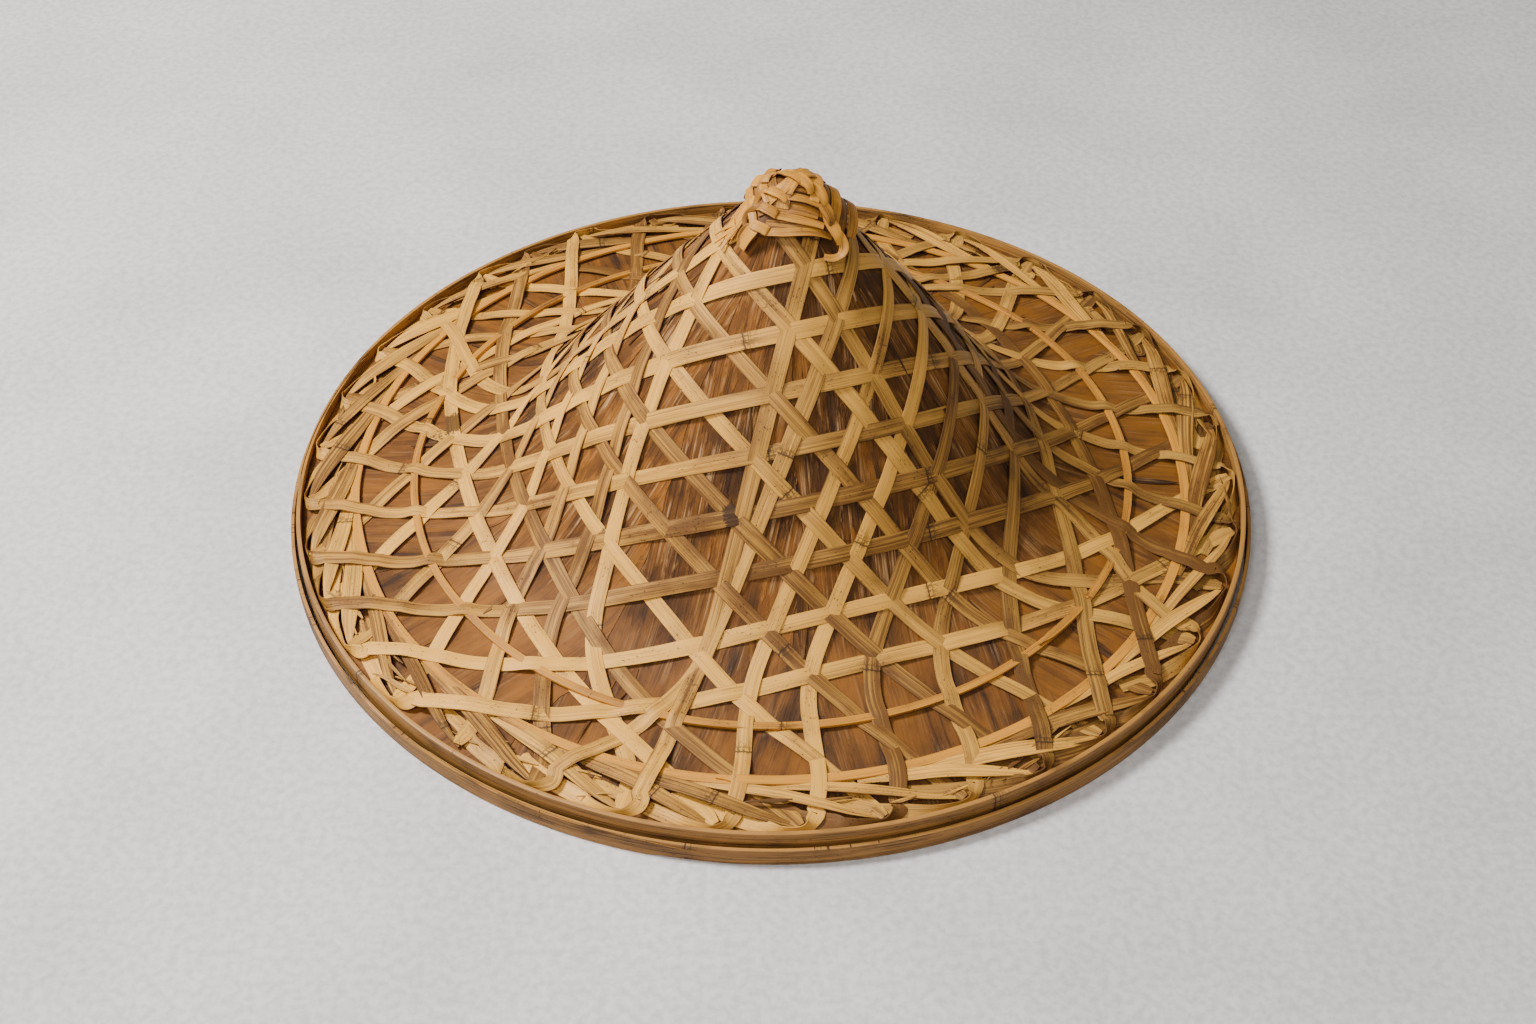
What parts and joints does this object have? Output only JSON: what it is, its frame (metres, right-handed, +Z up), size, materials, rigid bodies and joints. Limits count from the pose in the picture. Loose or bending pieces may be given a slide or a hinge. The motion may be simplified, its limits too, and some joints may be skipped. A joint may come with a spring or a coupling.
{
  "type": "conical bamboo hat",
  "caption": "Wide conical sun and rain hat: a leaf wall under an open six-sided bamboo weave, with a plaited tip cap, cane rings and a double rim hoop.",
  "frame": {"origin": "centre of the circle that the rim rests on", "axes": "+Z up through the point of the crown; +X towards the side that the point leans to; -Y towards the viewer of the picture"},
  "size_m": [0.47, 0.47, 0.1905],
  "materials": {
    "leaf": "matt dry leaf sheath with long fibres",
    "strip": "satin split bamboo",
    "cap_strip": "satin split bamboo",
    "cane": "semi-gloss bamboo skin",
    "hoop": "satin split bamboo"
  },
  "bodies": {
    "root": {"leaf_shell": "leaf", "outer_weave": "strip", "tip_cap": "cap_strip", "inner_ring": "cane", "rim_ring": "cane", "rim_splints": "strip", "upper_hoop": "hoop", "outer_hoop": "hoop"}
  },
  "joints": []
}
